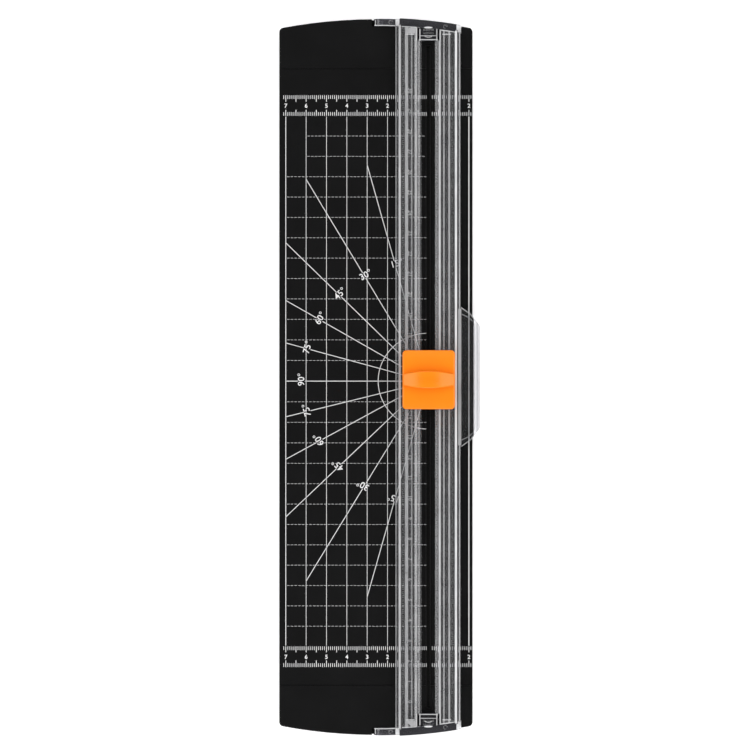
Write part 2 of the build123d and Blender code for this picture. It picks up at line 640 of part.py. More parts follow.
with BuildPart() as blade_axle:
    with BuildSketch(Plane.YZ.offset(CUT_X)):
        with Locations((SLIDER_Y, AXLE_Z)):
            Circle(AXLE_RADIUS)
    extrude(amount=AXLE_HALF, both=True)
    chamfer(blade_axle.edges(), 0.2)
blade_axle.part.label = "blade_axle"
export_step(blade_axle.part, "parts/blade_axle.step")

with BuildPart() as rotary_blade:
    with BuildSketch(Plane.YZ.offset(CUT_X)):
        with Locations((SLIDER_Y, AXLE_Z)):
            Circle(BLADE_RADIUS)
            Circle(HUB_RADIUS + HUB_FIT, mode=Mode.SUBTRACT)
    extrude(amount=BLADE_THICK / 2, both=True)
    # Ground edge, a bevel on both faces
    chamfer(rotary_blade.edges().filter_by(GeomType.CIRCLE).sort_by(SortBy.RADIUS)[-2:],
            length=BLADE_THICK / 2 - 0.03, length2=0.9,
            reference=rotary_blade.faces().filter_by(GeomType.CYLINDER).sort_by(SortBy.AREA)[-1])
rotary_blade.part.label = "rotary_blade"
export_step(rotary_blade.part, "parts/rotary_blade.step")

with BuildPart() as blade_hub:
    with BuildSketch(Plane.YZ.offset(CUT_X - HUB_HALF)):
        with Locations((SLIDER_Y, AXLE_Z)):
            Circle(HUB_FLANGE_RADIUS)
    extrude(amount=HUB_HALF - BLADE_THICK / 2)
    with BuildSketch(Plane.YZ.offset(CUT_X - HUB_HALF)):
        with Locations((SLIDER_Y, AXLE_Z)):
            Circle(HUB_RADIUS)
    extrude(amount=2 * HUB_HALF)
    with BuildSketch(Plane.YZ.offset(CUT_X)):
        with Locations((SLIDER_Y, AXLE_Z)):
            Circle(AXLE_RADIUS + HUB_GAP)
    extrude(amount=HUB_HALF, both=True, mode=Mode.SUBTRACT)
blade_hub.part.label = "blade_hub"
export_step(blade_hub.part, "parts/blade_hub.step")

with BuildPart() as hub_ring:
    with BuildSketch(Plane.YZ.offset(CUT_X + BLADE_THICK / 2)):
        with Locations((SLIDER_Y, AXLE_Z)):
            Circle(HUB_RING_RADIUS)
            Circle(HUB_RADIUS + HUB_FIT, mode=Mode.SUBTRACT)
    extrude(amount=HUB_HALF - BLADE_THICK / 2 - 0.05)
hub_ring.part.label = "hub_ring"
export_step(hub_ring.part, "parts/hub_ring.step")
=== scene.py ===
"""Looks of the rotary paper trimmer: printed board, clear rail, orange slider, studio."""
import json
import math

import bmesh
import bpy
from mathutils import Matrix, Vector


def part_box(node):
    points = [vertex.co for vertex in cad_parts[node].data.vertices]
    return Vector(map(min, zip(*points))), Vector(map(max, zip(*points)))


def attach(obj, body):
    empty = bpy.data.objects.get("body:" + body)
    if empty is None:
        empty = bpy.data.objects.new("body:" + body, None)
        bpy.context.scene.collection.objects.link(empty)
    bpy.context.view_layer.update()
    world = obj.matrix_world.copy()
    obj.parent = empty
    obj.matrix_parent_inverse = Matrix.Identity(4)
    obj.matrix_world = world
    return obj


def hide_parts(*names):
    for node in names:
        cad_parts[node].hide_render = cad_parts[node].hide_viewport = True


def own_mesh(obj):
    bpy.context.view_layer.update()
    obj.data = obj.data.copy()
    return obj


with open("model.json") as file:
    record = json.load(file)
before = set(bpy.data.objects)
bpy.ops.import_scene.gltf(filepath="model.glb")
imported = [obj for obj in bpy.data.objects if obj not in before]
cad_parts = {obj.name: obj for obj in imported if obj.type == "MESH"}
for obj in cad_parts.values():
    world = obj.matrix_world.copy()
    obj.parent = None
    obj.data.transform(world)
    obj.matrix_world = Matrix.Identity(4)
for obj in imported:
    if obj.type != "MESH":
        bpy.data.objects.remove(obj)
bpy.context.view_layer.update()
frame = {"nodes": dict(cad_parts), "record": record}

MM = 0.001
CM = 10 * MM

# ---- places, all worked out from the frame ------------------------------------------

BASE_LOW, BASE_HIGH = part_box("base_tray")
STRIP_LOW, STRIP_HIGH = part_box("cutting_strip")
RAIL_LOW, RAIL_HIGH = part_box("clear_rail")
COVER_LOW, COVER_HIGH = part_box("slider_cover")

BASE_X = (BASE_LOW.x + BASE_HIGH.x) / 2
BASE_Y = (BASE_LOW.y + BASE_HIGH.y) / 2
CUT_X = (STRIP_LOW.x + STRIP_HIGH.x) / 2
FIELD_Z = STRIP_HIGH.z                # the printed board
FLANGE_Z = RAIL_LOW.z + 6.5 * MM      # top of the rail's flanges
DECK_Z = RAIL_HIGH.z - 4.8 * MM       # top of the rail's deck
TROUGH_FLOOR_Z = DECK_Z - 2.8 * MM
PLATE_Z = FLANGE_Z + 0.1 * MM         # top of the rail's end plates
EAR_END_Z = PLATE_Z - 1.1 * MM        # where the ear's round end starts to fall away


# ---- mesh helpers -------------------------------------------------------------------

def new_piece(name, mesh_code, material, body):
    """Run mesh_code on an empty bmesh, and make the result a piece that rides on a body."""
    bm = bmesh.new()
    mesh_code(bm)
    bmesh.ops.recalc_face_normals(bm, faces=bm.faces)
    mesh = bpy.data.meshes.new(name)
    bm.to_mesh(mesh)
    bm.free()
    piece = bpy.data.objects.new(name, mesh)
    bpy.context.scene.collection.objects.link(piece)
    mesh.materials.append(material)
    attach(piece, body)
    return piece


def prism(bm, outline, low, high):
    """A closed block over a plan outline, between two heights."""
    bottom = [bm.verts.new((x, y, low)) for x, y in outline]
    top = [bm.verts.new((x, y, high)) for x, y in outline]
    bm.faces.new(bottom[::-1])
    bm.faces.new(top)
    count = len(outline)
    for i in range(count):
        j = (i + 1) % count
        bm.faces.new((bottom[i], bottom[j], top[j], top[i]))


def stroke(bm, start, end, width, low, high):
    """A straight flat line of that width from start to end."""
    start, end = Vector(start), Vector(end)
    across = (end - start).normalized().orthogonal() * (width / 2)
    outline = (start - across, end - across, end + across, start + across)
    prism(bm, [(p.x, p.y) for p in outline], low, high)


def arc_stroke(bm, centre, radius, from_angle, to_angle, width, low, high, steps, squash=1.0):
    """A flat line along an arc, as one closed band, with its Y squashed about the centre."""
    angles = [from_angle + (to_angle - from_angle) * i / steps for i in range(steps + 1)]
    inner, outer = radius - width / 2, radius + width / 2

    def ring(r, order):
        return [(centre[0] + r * math.cos(a), centre[1] + squash * r * math.sin(a)) for a in order]

    prism(bm, ring(outer, angles) + ring(inner, angles[::-1]), low, high)


CAP_SHARE = 0.7                       # the height of a figure, as a share of the font's size


def glyphs(bm, text, place, height, low, high, turn=0.0, weight=0.0):
    """Text as flat closed letters, centred on place and turned about it."""
    curve = bpy.data.curves.new("glyphs", "FONT")
    curve.body = text
    curve.size = height / CAP_SHARE
    curve.offset = weight
    curve.extrude = (high - low) / 2
    curve.resolution_u = 3
    curve.align_x = "CENTER"
    curve.align_y = "CENTER"
    holder = bpy.data.objects.new("glyphs", curve)
    mesh = bpy.data.meshes.new_from_object(holder)
    centre = Matrix.Translation((place[0], place[1], (low + high) / 2))
    mesh.transform(centre @ Matrix.Rotation(turn, 4, "Z"))
    bm.from_mesh(mesh)
    bpy.data.objects.remove(holder)
    bpy.data.curves.remove(curve)
    bpy.data.meshes.remove(mesh)


# ---- materials ----------------------------------------------------------------------

def new_material(name):
    """A node material with its Principled shader, as (material, nodes, links, shader)."""
    material = bpy.data.materials.new(name)
    material.use_nodes = True
    tree = material.node_tree
    return material, tree.nodes, tree.links, tree.nodes["Principled BSDF"]


def noise(nodes, links, scale, detail=3.0):
    """Noise in object coordinates, its scale in cells per metre."""
    place = nodes.new("ShaderNodeTexCoord")
    texture = nodes.new("ShaderNodeTexNoise")
    texture.inputs["Scale"].default_value = scale
    texture.inputs["Detail"].default_value = detail
    links.new(place.outputs["Object"], texture.inputs["Vector"])
    return texture.outputs["Fac"]


def ramp(nodes, links, source, stops):
    """A colour ramp over source, with stops of (position, grey or rgb)."""
    node = nodes.new("ShaderNodeValToRGB")
    elements = node.color_ramp.elements
    while len(elements) < len(stops):
        elements.new(0.5)
    for element, (position, colour) in zip(elements, stops):
        element.position = position
        rgb = (colour,) * 3 if isinstance(colour, float) else colour
        element.color = (*rgb, 1.0)
    links.new(source, node.inputs["Fac"])
    return node.outputs["Color"]


def bump(nodes, links, shader, source, depth):
    """Bump of that depth in metres."""
    node = nodes.new("ShaderNodeBump")
    node.inputs["Strength"].default_value = 1.0
    node.inputs["Distance"].default_value = depth
    links.new(source, node.inputs["Height"])
    links.new(node.outputs["Normal"], shader.inputs["Normal"])


def moulded(name, dark, light, roughness, grain, depth, specular=0.5):
    """Moulded plastic or rubber: slightly uneven colour and gloss, with a fine grain."""
    material, nodes, links, shader = new_material(name)
    cloud = noise(nodes, links, 60.0)
    links.new(ramp(nodes, links, cloud, ((0.3, dark), (0.7, light))), shader.inputs["Base Color"])
    gloss = ramp(nodes, links, noise(nodes, links, 900.0), ((0.3, roughness[0]), (0.7, roughness[1])))
    links.new(gloss, shader.inputs["Roughness"])
    bump(nodes, links, shader, noise(nodes, links, grain, 2.0), depth)
    shader.inputs["Specular IOR Level"].default_value = specular
    return material


def turned_metal(name, colour, roughness, along):
    """Metal with fine machining lines, stretched along one axis."""
    material, nodes, links, shader = new_material(name)
    place = nodes.new("ShaderNodeTexCoord")
    stretch = nodes.new("ShaderNodeMapping")
    stretch.inputs["Scale"].default_value = along
    lines = nodes.new("ShaderNodeTexNoise")
    lines.inputs["Scale"].default_value = 1.0
    links.new(place.outputs["Object"], stretch.inputs["Vector"])
    links.new(stretch.outputs["Vector"], lines.inputs["Vector"])
    links.new(ramp(nodes, links, lines.outputs["Fac"], ((0.3, roughness[0]), (0.7, roughness[1]))),
              shader.inputs["Roughness"])
    shade = tuple(c * 0.85 for c in colour)
    links.new(ramp(nodes, links, lines.outputs["Fac"], ((0.3, shade), (0.7, colour))),
              shader.inputs["Base Color"])
    bump(nodes, links, shader, lines.outputs["Fac"], 0.01 * MM)
    shader.inputs["Metallic"].default_value = 1.0
    return material


# Painted highlights where the rail's edges catch light, seen from above: each moulded edge, rib
# and lip gets a milky band, as (mm from the cut line to its middle, its half width in mm, haze).
LEFT_HIGHLIGHT_BANDS = ((-16.05, 0.5, 0.44), (-14.05, 0.7, 0.37), (-10.65, 0.95, 0.30), (-9.2, 0.4, 0.07),
              (-8.2, 0.5, 0.30), (-6.1, 0.8, 0.27), (-4.6, 0.6, 0.19))
RIGHT_HIGHLIGHT_BANDS = ((3.9, 0.9, 0.13), (5.55, 0.7, 0.36), (7.65, 0.5, 0.28), (8.95, 0.45, 0.09),
               (10.2, 0.65, 0.31), (13.45, 0.65, 0.62), (15.35, 0.45, 0.40))
BASE_HAZE = 0.032                     # between the bands
BAND_EDGE = 0.3                       # mm over which a band fades out
PLATE_HAZE = 0.10                     # of the two end plates
SMOKE = (0.30, 0.30, 0.34)            # tint of the two end plates
# Painted shade on the tab beyond the base, as (mm in from its tip, grey): it deepens along its rim
TAB_SHADE = ((5.0, 0.97), (3.8, 0.97), (3.7, 0.03), (3.2, 0.03), (2.9, 0.94), (2.2, 0.94),
            (1.9, 0.84), (1.5, 0.62), (1.2, 0.62), (0.9, 0.74), (0.0, 0.70))
TAB_START = (16.3, 16.8)              # mm from the cut line over which the rail turns into the tab
# The plates' tint across the rail, as (mm from the cut line, share): open at the two gaps
PLATE_TINT = ((-28.0, 1.0), (-16.2, 1.0), (-16.0, 0.0), (-14.2, 0.0), (-14.0, 1.0),
              (13.8, 1.0), (14.0, 0.0))
END_RADIUS = 250.0 * MM               # the bow of the rail's two ends
PLATE_DEPTH = 3.7 * MM                # of the end plates, in from the bow
BOW_CENTRE_Y = RAIL_HIGH.y - END_RADIUS


def remap(nodes, links, source, low, high, to_low=0.0, to_high=1.0):
    """Source from low..high to to_low..to_high, clamped."""
    node = nodes.new("ShaderNodeMapRange")
    limits = (("From Min", low), ("From Max", high), ("To Min", to_low), ("To Max", to_high))
    for socket, value in limits:
        node.inputs[socket].default_value = value
    links.new(source, node.inputs["Value"])
    return node.outputs["Result"]


def math_node(nodes, links, operation, first, second=None):
    """One arithmetic node over sockets or numbers."""
    node = nodes.new("ShaderNodeMath")
    node.operation = operation
    for socket, value in zip(node.inputs, (first, second)):
        if isinstance(value, float):
            socket.default_value = value
        elif value is not None:
            links.new(value, socket)
    return node.outputs[0]


def band_ramp(nodes, links, x, bands):
    """Painted highlights as haze across one side of the rail, from its bands."""
    left = bands[0][0] - bands[0][1] - 2 * BAND_EDGE
    right = bands[-1][0] + bands[-1][1] + 2 * BAND_EDGE
    across = remap(nodes, links, x, CUT_X + left * MM, CUT_X + right * MM)
    stops = []
    for middle, half, haze in bands:
        for place, value in ((-half, BASE_HAZE), (BAND_EDGE - half, haze), (half - BAND_EDGE, haze),
                             (half, BASE_HAZE)):
            stops.append(((middle + place - left) / (right - left), value))
    return ramp(nodes, links, across, stops)


def split(nodes, links, output):
    """The X, Y and Z of one of the Texture Coordinate node's outputs."""
    place = nodes.new("ShaderNodeTexCoord")
    axes = nodes.new("ShaderNodeSeparateXYZ")
    links.new(place.outputs[output], axes.inputs[0])
    return axes.outputs


def plate_mask(nodes, links, x, y):
    """1 on the bowed end plates, 0 on the rest of the rail."""
    across = math_node(nodes, links, "SUBTRACT", x, BASE_X)
    along = math_node(nodes, links, "SUBTRACT", math_node(nodes, links, "ABSOLUTE", y), BOW_CENTRE_Y)
    reach = nodes.new("ShaderNodeCombineXYZ")
    links.new(across, reach.inputs["X"])
    links.new(along, reach.inputs["Y"])
    length = nodes.new("ShaderNodeVectorMath")
    length.operation = "LENGTH"
    links.new(reach.outputs[0], length.inputs[0])
    edge = END_RADIUS - PLATE_DEPTH
    return remap(nodes, links, length.outputs["Value"], edge - 0.1 * MM, edge + 0.1 * MM)


def mix_colour(nodes, links, share, first, second):
    """First to second by share, each a socket or a colour."""
    node = nodes.new("ShaderNodeMix")
    node.data_type = "RGBA"
    links.new(share, node.inputs["Factor"])
    for socket, value in ((node.inputs[6], first), (node.inputs[7], second)):
        if isinstance(value, tuple):
            socket.default_value = (*value, 1.0)
        else:
            links.new(value, socket)
    return node.outputs[2]


def rail_plastic():
    """The rail's clear styrene: milky bands as painted highlights, smoked end plates, a tab with
    painted shade.
    """
    material, nodes, links, shader = clear_plastic("clear_plastic")
    cloud = noise(nodes, links, 90.0)
    x, y, _ = split(nodes, links, "Object")
    facing = split(nodes, links, "Normal")
    plate = plate_mask(nodes, links, x, y)
    # The bands' haze is painted highlight, kept to faces that look up or down
    bands = math_node(nodes, links, "MAXIMUM", band_ramp(nodes, links, x, LEFT_HIGHLIGHT_BANDS),
                      band_ramp(nodes, links, x, RIGHT_HIGHLIGHT_BANDS))
    streaks = remap(nodes, links, cloud, 0.3, 0.7, 0.85, 1.1)
    streaky_highlights = math_node(nodes, links, "MULTIPLY", bands, streaks)
    haze = mix_colour(nodes, links, plate, streaky_highlights, (PLATE_HAZE,) * 3)
    flat = math_node(nodes, links, "ABSOLUTE", facing["Z"])
    haze = math_node(nodes, links, "MULTIPLY", haze, flat)
    tab_from, tab_to = CUT_X + TAB_START[0] * MM, CUT_X + TAB_START[1] * MM
    on_tab = remap(nodes, links, x, tab_from, tab_to, 1.0, 0.1)
    haze = math_node(nodes, links, "MULTIPLY", haze, on_tab)
    links.new(remap(nodes, links, x, tab_from, tab_to, 0.5, 0.15), shader.inputs["Specular IOR Level"])
    links.new(math_node(nodes, links, "SUBTRACT", 1.0, haze), shader.inputs["Transmission Weight"])
    low, high = PLATE_TINT[0][0], PLATE_TINT[-1][0]
    across = remap(nodes, links, x, CUT_X + low * MM, CUT_X + high * MM)
    shares = [((mm - low) / (high - low), share) for mm, share in PLATE_TINT]
    smoked = math_node(nodes, links, "MULTIPLY", ramp(nodes, links, across, shares), plate)
    clear = ramp(nodes, links, cloud, ((0.2, (0.93, 0.93, 0.95)), (0.8, (0.98, 0.98, 0.99))))
    # Painted shade on the tab beyond the base: a dark line and deeper greys along its rim
    inward = TAB_SHADE[0][0]
    outward = remap(nodes, links, x, RAIL_HIGH.x - inward * MM, RAIL_HIGH.x)
    tab_shade_stops = [((inward - mm) / inward, (g, g, 1.03 * g)) for mm, g in TAB_SHADE]
    grey = ramp(nodes, links, outward, tab_shade_stops)
    beyond = remap(nodes, links, x, BASE_HIGH.x - 0.6 * MM, BASE_HIGH.x - 0.1 * MM)
    tint = mix_colour(nodes, links, beyond, clear, grey)
    links.new(mix_colour(nodes, links, smoked, tint, SMOKE), shader.inputs["Base Color"])
    return material


def clear_plastic(name):
    """Clear styrene with a faint ripple, as (material, nodes, links, shader)."""
    material, nodes, links, shader = new_material(name)
    links.new(ramp(nodes, links, noise(nodes, links, 700.0), ((0.3, 0.02), (0.7, 0.06))),
              shader.inputs["Roughness"])
    shader.inputs["IOR"].default_value = 1.5
    bump(nodes, links, shader, noise(nodes, links, 120.0, 1.0), 0.01 * MM)
    return material, nodes, links, shader


def milky_plastic(name, haze, tint=(0.98, 0.98, 0.99)):
    """Clear styrene with an even haze between two limits, and a tint."""
    material, nodes, links, shader = clear_plastic(name)
    cloud = noise(nodes, links, 90.0)
    clear = ramp(nodes, links, cloud, ((0.25, 1.0 - haze[0]), (0.75, 1.0 - haze[1])))
    links.new(clear, shader.inputs["Transmission Weight"])
    deep = tuple(0.95 * c for c in tint)
    links.new(ramp(nodes, links, cloud, ((0.2, deep), (0.8, tint))), shader.inputs["Base Color"])
    return material


def print_ink():
    """White screen-print ink, a little uneven in cover."""
    material, nodes, links, shader = new_material("print_ink")
    cover = noise(nodes, links, 1500.0)
    links.new(ramp(nodes, links, cover, ((0.3, (0.66, 0.66, 0.67)), (0.6, (0.80, 0.80, 0.80)))),
              shader.inputs["Base Color"])
    shader.inputs["Roughness"].default_value = 0.6
    shader.inputs["Specular IOR Level"].default_value = 0.2
    bump(nodes, links, shader, cover, 0.005 * MM)
    return material


MATERIALS = {
    "base_black": moulded("base_black", (0.0020, 0.0020, 0.0021), (0.0034, 0.0034, 0.0036),
                          (0.42, 0.5), 2600.0, 0.02 * MM, 0.09),
    "strip_black": moulded("strip_black", (0.002, 0.002, 0.002), (0.0035, 0.0035, 0.0035),
                           (0.5, 0.6), 1800.0, 0.02 * MM, 0.12),
    "foot_rubber": moulded("foot_rubber", (0.015, 0.015, 0.015), (0.024, 0.024, 0.024),
                           (0.8, 0.92), 1500.0, 0.05 * MM, 0.2),
    "sled_black": moulded("sled_black", (0.012, 0.012, 0.012), (0.018, 0.018, 0.018),
                          (0.4, 0.5), 2200.0, 0.02 * MM),
    "holder_black": moulded("holder_black", (0.014, 0.014, 0.015), (0.02, 0.02, 0.02),
                            (0.35, 0.45), 2200.0, 0.02 * MM),
    "cover_orange": moulded("cover_orange", (0.905, 0.216, 0.0), (0.915, 0.222, 0.0),
                            (0.29, 0.31), 1600.0, 0.005 * MM, 0.36),
    "pin_steel": turned_metal("pin_steel", (0.62, 0.62, 0.63), (0.2, 0.35), (300, 4000, 300)),
    "spring_steel": turned_metal("spring_steel", (0.6, 0.6, 0.62), (0.22, 0.32), (900, 900, 900)),
    "blade_steel": turned_metal("blade_steel", (0.72, 0.72, 0.74), (0.1, 0.2), (9000, 600, 600)),
    "hub_brass": turned_metal("hub_brass", (0.78, 0.56, 0.24), (0.18, 0.3), (5000, 700, 700)),
    "pin_black": moulded("pin_black", (0.015, 0.015, 0.015), (0.025, 0.025, 0.025),
                         (0.3, 0.4), 3000.0, 0.005 * MM),
    "clear_plastic": rail_plastic(),
}
STOP_CLEAR = milky_plastic("stop_clear", (0.02, 0.05), SMOKE)
STOP_CLEAR.node_tree.nodes["Principled BSDF"].inputs["Specular IOR Level"].default_value = 0.15
PAD_CLEAR = milky_plastic("pad_clear", (0.28, 0.38))
GLINT = milky_plastic("glint", (0.85, 0.95))
TICK_CLEAR = milky_plastic("tick_clear", (0.14, 0.24))
# Frosted plastic for the rail's numbers, and for the raised lines that are painted highlights
FROSTED_AND_HIGHLIGHT = milky_plastic("frosted_and_highlight_plastic", (0.4, 0.55))
INK = print_ink()

slot_of = {row["node"]: row["material_slot"] for row in frame["record"]["subparts"]}
for node_name, node in frame["nodes"].items():
    for material_slot in node.material_slots:
        material = STOP_CLEAR if node_name.startswith("end_stop") else MATERIALS[slot_of[node_name]]
        material_slot.material = material

# Moulded edges are never sharp: soften those of the larger plastic parts
for node_name, radius in (("clear_rail", 0.28), ("slider_cover", 0.25), ("end_stop_front", 0.25),
                          ("end_stop_back", 0.25), ("base_tray", 0.25)):
    soften = frame["nodes"][node_name].modifiers.new("soften", "BEVEL")
    soften.width = radius * MM
    soften.segments = 2
    soften.limit_method = "ANGLE"
    soften.angle_limit = math.radians(35)
    soften.use_clamp_overlap = True

# ---- printing on the board ----------------------------------------------------------

PRINT_Y = BASE_Y - 2.0 * MM          # the 90 degree line, middle of the printed grid
INK_LOW = FIELD_Z
INK_HIGH = FIELD_Z + 0.03 * MM
GRID_HALF = 130.0 * MM
BAND_IN = 130.4 * MM                 # inner row of millimetre ticks at each end of the grid
BAND_OUT = 140.5 * MM                # and the outer row
TICK = 1.8 * MM
IN_LONG_TICK = 2.9 * MM
OUT_LONG_TICK = 3.2 * MM
TICK_WIDTH = 0.26 * MM
LONG_TICK_WIDTH = 0.3 * MM
DIGIT_HEIGHT = 2.0 * MM
DIGIT_DROP = 0.2 * MM                # the digits sit a little low between the rows
LEFT_CM = 7                          # the grid's outermost centimetre lines
RIGHT_CM = 2
GROOVE_LEFT = CUT_X - 1.0 * MM
GROOVE_RIGHT = CUT_X + 1.5 * MM
LINE_WIDTH = 0.22 * MM
LEFT_LINE_WIDTH = 0.31 * MM
RIGHT_LINE_WIDTH = 0.44 * MM
ROW_SPREAD = 0.47 * MM               # the dashed rows open up a little from the middle
DASH_WIDTH = 0.14 * MM
DASH = 1.2 * MM
DASH_GAP = 0.62 * MM
ANGLE_WIDTH = 0.31 * MM
FAN_SQUASH = 0.957                   # the fan's arc is a little short along the cut
FAN_DROP = 0.29 * MM                 # its slanted lines meet a little below the middle
FAN_LEAN = 0.013                     # and lean up to the left by that slope
FAN_RADIUS = 24.6 * MM
LABEL_REACH = 59.6 * MM              # to the labels' middle; each line's squash divides it
LABEL_HEIGHT = 3.2 * MM
LABEL_GAP = 1.7 * MM                 # half the break in a line for its label
LABEL_SHIFT = 0.8 * MM               # along the text, so that its figures are centred
# Angle: the centimetre line it ends at, and its squash along the cut
FAN_LINES = {15: (3, 0.948), 30: (6, 0.950), 45: (7, 0.962), 60: (7, 0.966), 75: (7, 0.968),
             90: (7, 0.957)}


def ink(bm, start, end, width):
    """One printed line."""
    stroke(bm, start, end, width, INK_LOW, INK_HIGH)


def grid_lines(bm):
    """Upright lines at each centimetre and dashed lines across, every centimetre."""
    for n in range(-LEFT_CM, RIGHT_CM + 1):
        if n == 0:
            continue
        x = CUT_X + n * CM
        width = {-LEFT_CM: LEFT_LINE_WIDTH, RIGHT_CM: RIGHT_LINE_WIDTH}.get(n, LINE_WIDTH)
        ink(bm, (x, PRINT_Y - GRID_HALF), (x, PRINT_Y + GRID_HALF), width)
    rows = int(GRID_HALF / CM) - 1
    for row in range(-rows, rows + 1):
        if row == 0:
            continue
        y = PRINT_Y + row * CM + ROW_SPREAD * math.tanh(row / 3)
        # The two top rows stop short of the edge line
        x = CUT_X - (LEFT_CM - 1 if row > rows - 2 else LEFT_CM) * CM + DASH_GAP
        while x < GROOVE_LEFT - DASH_GAP:
            ink(bm, (x, y), (min(x + DASH, GROOVE_LEFT), y), DASH_WIDTH)
            x += DASH + DASH_GAP


def scale_ticks(bm):
    """Two facing rows of millimetre ticks across the board, at each end of the grid."""
    for side in (-1, 1):
        for base, inward, long_tick in ((BAND_OUT, -1, OUT_LONG_TICK), (BAND_IN, 1, IN_LONG_TICK)):
            for mm in range(-LEFT_CM * 10 - 1, RIGHT_CM * 10 + 2):
                x = CUT_X + mm * MM
                if GROOVE_LEFT < x < GROOVE_RIGHT:
                    continue
                length, width = (long_tick, LONG_TICK_WIDTH) if mm % 5 == 0 else (TICK, TICK_WIDTH)
                y = PRINT_Y + side * base
                ink(bm, (x, y), (x, y + side * inward * length), width)


def scale_digits(bm):
    """Centimetre numbers between the two rows of ticks."""
    for side in (-1, 1):
        for n in range(-LEFT_CM, RIGHT_CM + 1):
            if n:
                place = (CUT_X + n * CM, PRINT_Y + side * (BAND_IN + BAND_OUT) / 2 - DIGIT_DROP)
                glyphs(bm, str(abs(n)), place, DIGIT_HEIGHT, INK_LOW, INK_HIGH, weight=0.05 * MM)


def fan_point(angle, side, radius):
    """A point on the angle fan: angle from the cut line, side 1 above the middle."""
    turn = math.radians(angle)
    left = radius * math.sin(turn)
    along = side * FAN_LINES[angle][1] * radius * math.cos(turn)
    tilt = 0.0 if angle == 90 else FAN_LEAN * left - FAN_DROP
    return Vector((CUT_X - left, PRINT_Y + along + tilt))


def angle_lines(bm):
    """Lines at 15 degree steps up to the groove's left edge, broken for their labels."""
    groove = CUT_X - GROOVE_LEFT
    for angle, (end_cm, squash) in FAN_LINES.items():
        sine = math.sin(math.radians(angle))
        label = LABEL_REACH / squash
        for side in (1,) if angle == 90 else (-1, 1):
            for near, far in ((groove / sine, label - LABEL_GAP),
                              (label + LABEL_GAP, end_cm * CM / sine)):
                ink(bm, fan_point(angle, side, near), fan_point(angle, side, far), ANGLE_WIDTH)
    edge = math.acos(-groove / FAN_RADIUS)
    arc_stroke(bm, (CUT_X, PRINT_Y), FAN_RADIUS, edge, 2 * math.pi - edge,
               ANGLE_WIDTH, INK_LOW, INK_HIGH, 64, FAN_SQUASH)


def angle_labels(bm):
    """Degrees beside the fan's lines, turned to stand across them."""
    for angle, (_, squash) in FAN_LINES.items():
        for side in (1,) if angle == 90 else (-1, 1):
            turn = math.radians(angle if side > 0 else 180 - angle)
            place = fan_point(angle, side, LABEL_REACH / squash)
            place += Vector((math.cos(turn), math.sin(turn))) * LABEL_SHIFT
            glyphs(bm, f"{angle}°", place, LABEL_HEIGHT, INK_LOW, INK_HIGH, turn=turn,
                   weight=0.01 * MM)


new_piece("board_grid", grid_lines, INK, "base")
new_piece("board_ticks", scale_ticks, INK, "base")
new_piece("board_numbers", scale_digits, INK, "base")
new_piece("angle_lines", angle_lines, INK, "base")
new_piece("angle_labels", angle_labels, INK, "base")

# ---- moulded scale on the clear rail ------------------------------------------------

RAIL_ZERO = BASE_Y - 155.0 * MM       # where the rail's scale starts, at the front
RAIL_MM = 307
SCALE_RISE = 0.12 * MM
# Each side's ticks, as mm from the cut line to their start, their end and a long one's end,
# and their width in mm
RAIL_TICKS = ((-12.9, -11.9, -11.4, 0.18), (11.2, 12.2, 12.6, 0.16))
NUMBER_X = CUT_X - 9.0 * MM
NUMBER_BACK = 4.4 * MM                # from a centimetre's tick back to its number
NUMBER_HEIGHT = 1.8 * MM


def rail_ticks(bm):
    """Raised millimetre ticks along both sides of the deck."""
    low, high = DECK_Z, DECK_Z + SCALE_RISE
    for mm in range(RAIL_MM + 1):
        y = RAIL_ZERO + mm * MM
        for start, end, long_end, width in RAIL_TICKS:
            end = long_end if mm % 5 == 0 else end
            stroke(bm, (CUT_X + start * MM, y), (CUT_X + end * MM, y), width * MM, low, high)


def rail_numbers(bm):
    """Raised centimetre numbers on the floor of the left trough, between their ticks."""
    low, high = TROUGH_FLOOR_Z, TROUGH_FLOOR_Z + SCALE_RISE
    for n in range(RAIL_MM // 10 + 1):
        place = (NUMBER_X, RAIL_ZERO + n * CM - NUMBER_BACK)
        glyphs(bm, str(n), place, NUMBER_HEIGHT, low, high, turn=math.radians(-90), weight=0.05 * MM)


new_piece("rail_ticks", rail_ticks, TICK_CLEAR, "rail")
new_piece("rail_numbers", rail_numbers, FROSTED_AND_HIGHLIGHT, "rail")

# ---- painted highlights: raised frosted lines along the rail's openings and edges ---

BEAD = 0.45 * MM
THIN_BEAD = 0.3 * MM
BEAD_RISE = 0.1 * MM
TROUGH_X = (6.9 * MM, 11.1 * MM)      # a trough's sides, from the cut line
TROUGH_END_Y = 168.0 * MM
KEYHOLE_X = 5.75 * MM                 # a keyhole's side and near end
KEYHOLE_Y = 165.0 * MM
DECK_X = 13.0 * MM                    # how far the end bead reaches from the cut line
BOW_STEPS = 6                         # and its straight runs
BOW_MARGIN = 0.3 * MM                 # from the end plate


def beads(bm, points, height, width=BEAD):
    """A low raised line along straight runs between plan points, for a painted highlight."""
    for start, end in zip(points, points[1:]):
        stroke(bm, start, end, width, height, height + BEAD_RISE)


def bowed(offset_x, inset):
    """Y of the bowed back end, at an X from the cut line and an inset from the edge."""
    x = CUT_X + offset_x - BASE_X
    return BOW_CENTRE_Y + math.sqrt((END_RADIUS - inset) ** 2 - x * x)


